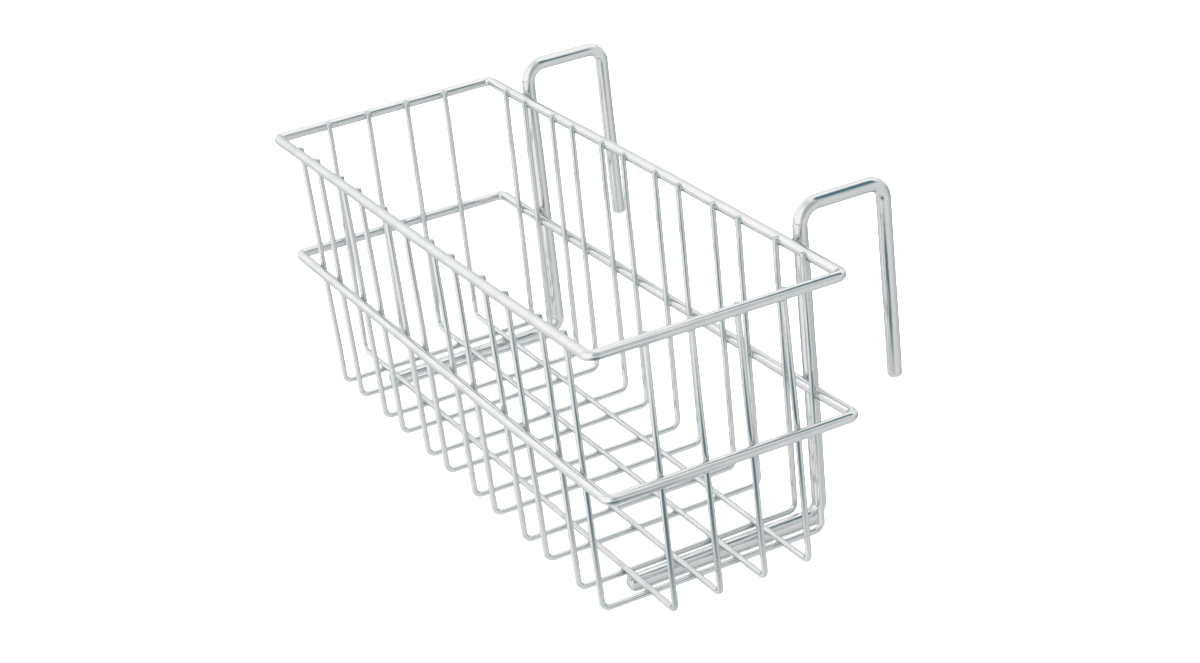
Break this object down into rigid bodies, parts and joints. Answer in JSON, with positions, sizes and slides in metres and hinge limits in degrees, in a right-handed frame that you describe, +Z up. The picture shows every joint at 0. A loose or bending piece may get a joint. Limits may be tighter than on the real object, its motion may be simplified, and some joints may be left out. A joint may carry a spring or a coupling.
{
  "type": "wire basket with rail hooks",
  "caption": "Open rectangular basket of welded bright steel wire that hangs over a rail by hooks at its back.",
  "frame": {"origin": "bottom centre of the whole part's box, on the plane that the feet of the two hooks stand on", "axes": "+X along the basket from the left hook to the right hook, +Y from the front wall towards the hooks' free legs, +Z up out of the basket's mouth"},
  "size_m": [0.4138, 0.2076, 0.1824],
  "materials": {
    "rim_wire": "bright zinc-nickel plated steel wire, slightly soft reflections",
    "grid_wire": "bright plated steel wire, thin",
    "hook_rod": "bright plated steel rod, clear reflections"
  },
  "bodies": {
    "root": {"top_rim": "rim_wire", "lower_rim": "rim_wire", "cross_wire_01": "grid_wire", "cross_wire_02": "grid_wire", "cross_wire_03": "grid_wire", "cross_wire_04": "grid_wire", "cross_wire_05": "grid_wire", "cross_wire_06": "grid_wire", "cross_wire_07": "grid_wire", "cross_wire_08": "grid_wire", "cross_wire_09": "grid_wire", "cross_wire_10": "grid_wire", "cross_wire_11": "grid_wire", "cross_wire_12": "grid_wire", "long_wire_1": "grid_wire", "long_wire_2": "grid_wire", "long_wire_3": "grid_wire", "long_wire_4": "grid_wire", "left_hook": "hook_rod", "right_hook": "hook_rod"}
  },
  "joints": []
}
